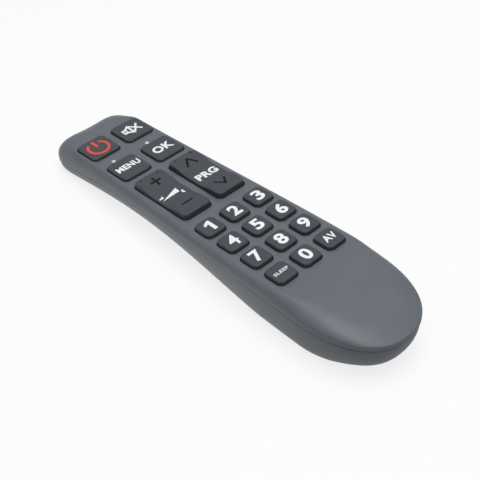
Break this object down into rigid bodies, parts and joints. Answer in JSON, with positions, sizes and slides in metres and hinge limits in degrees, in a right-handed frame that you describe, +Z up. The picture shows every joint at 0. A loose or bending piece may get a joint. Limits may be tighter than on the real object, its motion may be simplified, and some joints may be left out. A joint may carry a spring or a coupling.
{
  "type": "universal remote control",
  "caption": "Slim handheld remote control with a waisted two-shell case, square keys, two rocker keys, a digit block and a sliding battery door under a wide palm end.",
  "frame": {"origin": "middle of the case's length and width, on the table under it", "axes": "+Y along the case towards the head with the emitter, +X to the right seen from above, +Z up"},
  "size_m": [0.0446, 0.1844, 0.0229],
  "materials": {
    "case_plastic": "fine-grained matt grey",
    "key_plastic": "satin slate, printed legends",
    "mat_rubber": "matt",
    "board": "lacquered green laminate",
    "lens_plastic": "clear moulded",
    "emitter_plastic": "tinted clear",
    "chip_plastic": "moulded black",
    "resonator_plastic": "dipped lacquer",
    "cell_sleeve": "printed sleeve",
    "bright_metal": "nickel plated"
  },
  "bodies": {
    "body": {"upper_case": "case_plastic", "lower_case": "case_plastic", "key_mat": "mat_rubber", "circuit_board": "board", "indicator_lens_left": "lens_plastic", "indicator_lens_right": "lens_plastic", "indicator_led_left": "lens_plastic", "indicator_led_right": "lens_plastic", "infrared_emitter": "emitter_plastic", "controller_chip": "chip_plastic", "resonator": "resonator_plastic", "capacitor": "chip_plastic", "driver_transistor": "chip_plastic", "chip_resistors": "chip_plastic", "board_screws": "bright_metal", "case_screw": "bright_metal", "contact_bridge": "bright_metal", "contact_negative": "bright_metal", "contact_positive": "bright_metal", "battery_left": "cell_sleeve", "battery_right": "cell_sleeve"},
    "key_power": {"key_power": "key_plastic"},
    "key_mute": {"key_mute": "key_plastic"},
    "key_menu": {"key_menu": "key_plastic"},
    "key_ok": {"key_ok": "key_plastic"},
    "key_1": {"key_1": "key_plastic"},
    "key_2": {"key_2": "key_plastic"},
    "key_3": {"key_3": "key_plastic"},
    "key_4": {"key_4": "key_plastic"},
    "key_5": {"key_5": "key_plastic"},
    "key_6": {"key_6": "key_plastic"},
    "key_7": {"key_7": "key_plastic"},
    "key_8": {"key_8": "key_plastic"},
    "key_9": {"key_9": "key_plastic"},
    "key_sleep": {"key_sleep": "key_plastic"},
    "key_0": {"key_0": "key_plastic"},
    "key_av": {"key_av": "key_plastic"},
    "rocker_volume": {"rocker_volume": "key_plastic"},
    "rocker_program": {"rocker_program": "key_plastic"},
    "battery_door": {"battery_door": "case_plastic"}
  },
  "joints": [
    {"name": "key_power_travel", "type": "slide", "parent": "body", "child": "key_power", "axis": [0, -0.0454, -0.999], "range_m": [0, 0.001], "stiffness_N_per_m": 800, "springref_m": -0.0005},
    {"name": "key_mute_travel", "type": "slide", "parent": "body", "child": "key_mute", "axis": [0, -0.0454, -0.999], "range_m": [0, 0.001], "stiffness_N_per_m": 800, "springref_m": -0.0005},
    {"name": "key_menu_travel", "type": "slide", "parent": "body", "child": "key_menu", "axis": [0, -0.0454, -0.999], "range_m": [0, 0.001], "stiffness_N_per_m": 800, "springref_m": -0.0005},
    {"name": "key_ok_travel", "type": "slide", "parent": "body", "child": "key_ok", "axis": [0, -0.0454, -0.999], "range_m": [0, 0.001], "stiffness_N_per_m": 800, "springref_m": -0.0005},
    {"name": "key_1_travel", "type": "slide", "parent": "body", "child": "key_1", "axis": [0, -0.0454, -0.999], "range_m": [0, 0.001], "stiffness_N_per_m": 800, "springref_m": -0.0005},
    {"name": "key_2_travel", "type": "slide", "parent": "body", "child": "key_2", "axis": [0, -0.0454, -0.999], "range_m": [0, 0.001], "stiffness_N_per_m": 800, "springref_m": -0.0005},
    {"name": "key_3_travel", "type": "slide", "parent": "body", "child": "key_3", "axis": [0, -0.0454, -0.999], "range_m": [0, 0.001], "stiffness_N_per_m": 800, "springref_m": -0.0005},
    {"name": "key_4_travel", "type": "slide", "parent": "body", "child": "key_4", "axis": [0, -0.0454, -0.999], "range_m": [0, 0.001], "stiffness_N_per_m": 800, "springref_m": -0.0005},
    {"name": "key_5_travel", "type": "slide", "parent": "body", "child": "key_5", "axis": [0, -0.0454, -0.999], "range_m": [0, 0.001], "stiffness_N_per_m": 800, "springref_m": -0.0005},
    {"name": "key_6_travel", "type": "slide", "parent": "body", "child": "key_6", "axis": [0, -0.0454, -0.999], "range_m": [0, 0.001], "stiffness_N_per_m": 800, "springref_m": -0.0005},
    {"name": "key_7_travel", "type": "slide", "parent": "body", "child": "key_7", "axis": [0, -0.0454, -0.999], "range_m": [0, 0.001], "stiffness_N_per_m": 800, "springref_m": -0.0005},
    {"name": "key_8_travel", "type": "slide", "parent": "body", "child": "key_8", "axis": [0, -0.0454, -0.999], "range_m": [0, 0.001], "stiffness_N_per_m": 800, "springref_m": -0.0005},
    {"name": "key_9_travel", "type": "slide", "parent": "body", "child": "key_9", "axis": [0, -0.0454, -0.999], "range_m": [0, 0.001], "stiffness_N_per_m": 800, "springref_m": -0.0005},
    {"name": "key_sleep_travel", "type": "slide", "parent": "body", "child": "key_sleep", "axis": [0, -0.0454, -0.999], "range_m": [0, 0.001], "stiffness_N_per_m": 800, "springref_m": -0.0005},
    {"name": "key_0_travel", "type": "slide", "parent": "body", "child": "key_0", "axis": [0, -0.0454, -0.999], "range_m": [0, 0.001], "stiffness_N_per_m": 800, "springref_m": -0.0005},
    {"name": "key_av_travel", "type": "slide", "parent": "body", "child": "key_av", "axis": [0, -0.0454, -0.999], "range_m": [0, 0.001], "stiffness_N_per_m": 800, "springref_m": -0.0005},
    {"name": "rocker_volume_tilt", "type": "hinge", "parent": "body", "child": "rocker_volume", "pos_m": [-0.00905, 0.01997, 0.01559], "axis": [1, 0, 0], "range_deg": [-3.57, 3.57], "stiffness_Nm_per_rad": 0.25},
    {"name": "rocker_program_tilt", "type": "hinge", "parent": "body", "child": "rocker_program", "pos_m": [0.00905, 0.01997, 0.01559], "axis": [1, 0, 0], "range_deg": [-3.57, 3.57], "stiffness_Nm_per_rad": 0.25},
    {"name": "battery_door_slide", "type": "slide", "parent": "body", "child": "battery_door", "axis": [0, -1, 0], "range_m": [0, 0.008]}
  ]
}
